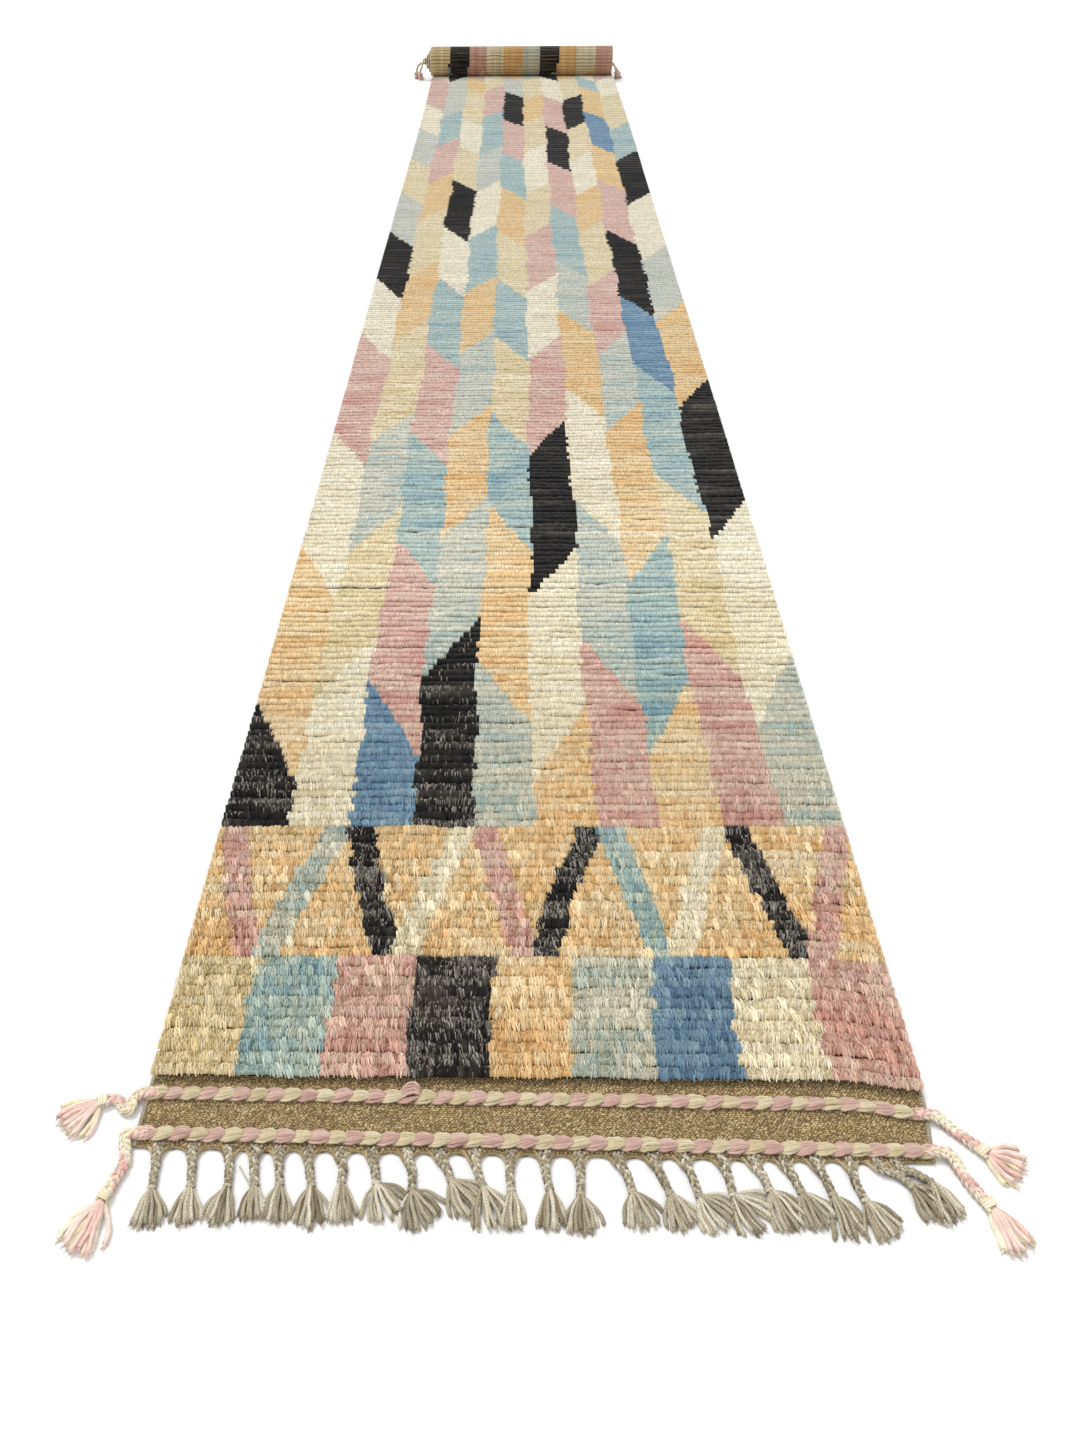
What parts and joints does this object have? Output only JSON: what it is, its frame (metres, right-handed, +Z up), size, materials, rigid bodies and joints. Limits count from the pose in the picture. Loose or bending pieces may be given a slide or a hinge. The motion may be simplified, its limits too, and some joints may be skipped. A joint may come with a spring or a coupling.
{
  "type": "afghan runner rug",
  "caption": "Long hand-knotted wool runner lying pile up, its far end rolled up, with a plain-woven front end, twined braids and a fringe of plaited tassels.",
  "frame": {"origin": "centre of the footprint, tassels and tails included, on the floor", "axes": "+Z up, +Y along the rug from the front fringe to the roll, +X to the right seen from the fringe"},
  "size_m": [0.9826, 5.2492, 0.125],
  "materials": {
    "pile": "knotted wool pile in ridged rows, many soft colours",
    "kilim": "plain-woven taupe wool",
    "braid": "twined pink and cream wool yarn",
    "fringe": "plaited heathered taupe wool yarn",
    "selvedge": "overcast pale wool cord"
  },
  "bodies": {
    "root": {"rug": "pile", "braid_inner": "braid", "braid_outer": "braid", "fringe": "fringe", "braid_far_inner": "braid", "braid_far_outer": "braid"}
  },
  "joints": []
}
